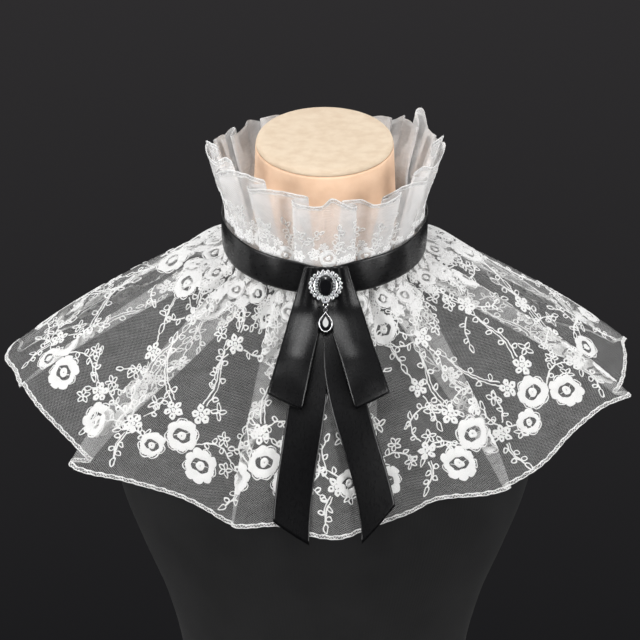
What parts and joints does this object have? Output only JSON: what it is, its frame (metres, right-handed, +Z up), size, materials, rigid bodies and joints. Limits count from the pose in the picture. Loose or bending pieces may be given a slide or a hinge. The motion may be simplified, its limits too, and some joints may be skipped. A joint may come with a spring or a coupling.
{
  "type": "lace collar on a limbless half-body dress form",
  "caption": "Pleated net collar with stand-up ruff, shoulder cape, ribbon band, bow and oval brooch, worn on a limbless half-body dress form.",
  "frame": {"origin": "centre of the dress form's flat base", "axes": "+Z up, front of the collar towards -Y, +X to the right as seen from the front"},
  "size_m": [0.5015, 0.3104, 0.5417],
  "materials": {
    "net": "sheer embroidered net",
    "satin": "satin ribbon",
    "silver": "polished",
    "black_stone": "faceted, polished",
    "linen": "plain weave",
    "cap_cotton": "plain weave",
    "jersey": "matt knit"
  },
  "bodies": {
    "collar_on_form": {"form_torso": "jersey", "form_neck": "linen", "form_cap": "cap_cotton", "cape": "net", "ruff": "net", "band": "satin", "back_button": "satin", "bow_tail_left": "satin", "bow_tail_right": "satin", "bow_loop_left": "satin", "bow_loop_right": "satin", "brooch_setting": "silver", "brooch_stone": "black_stone"},
    "bail": {"bail": "silver"},
    "drop": {"drop_setting": "silver", "drop_stone": "black_stone"}
  },
  "joints": [
    {"name": "bail_lift", "type": "hinge", "parent": "collar_on_form", "child": "bail", "pos_m": [0.0006, -0.09456, 0.42095], "axis": [-1, 0, 0], "range_deg": [0, 90]},
    {"name": "drop_sway", "type": "hinge", "parent": "bail", "child": "drop", "pos_m": [0.0006, -0.09585, 0.41924], "axis": [0, -0.7986, 0.6018], "range_deg": [-45, 45]}
  ]
}
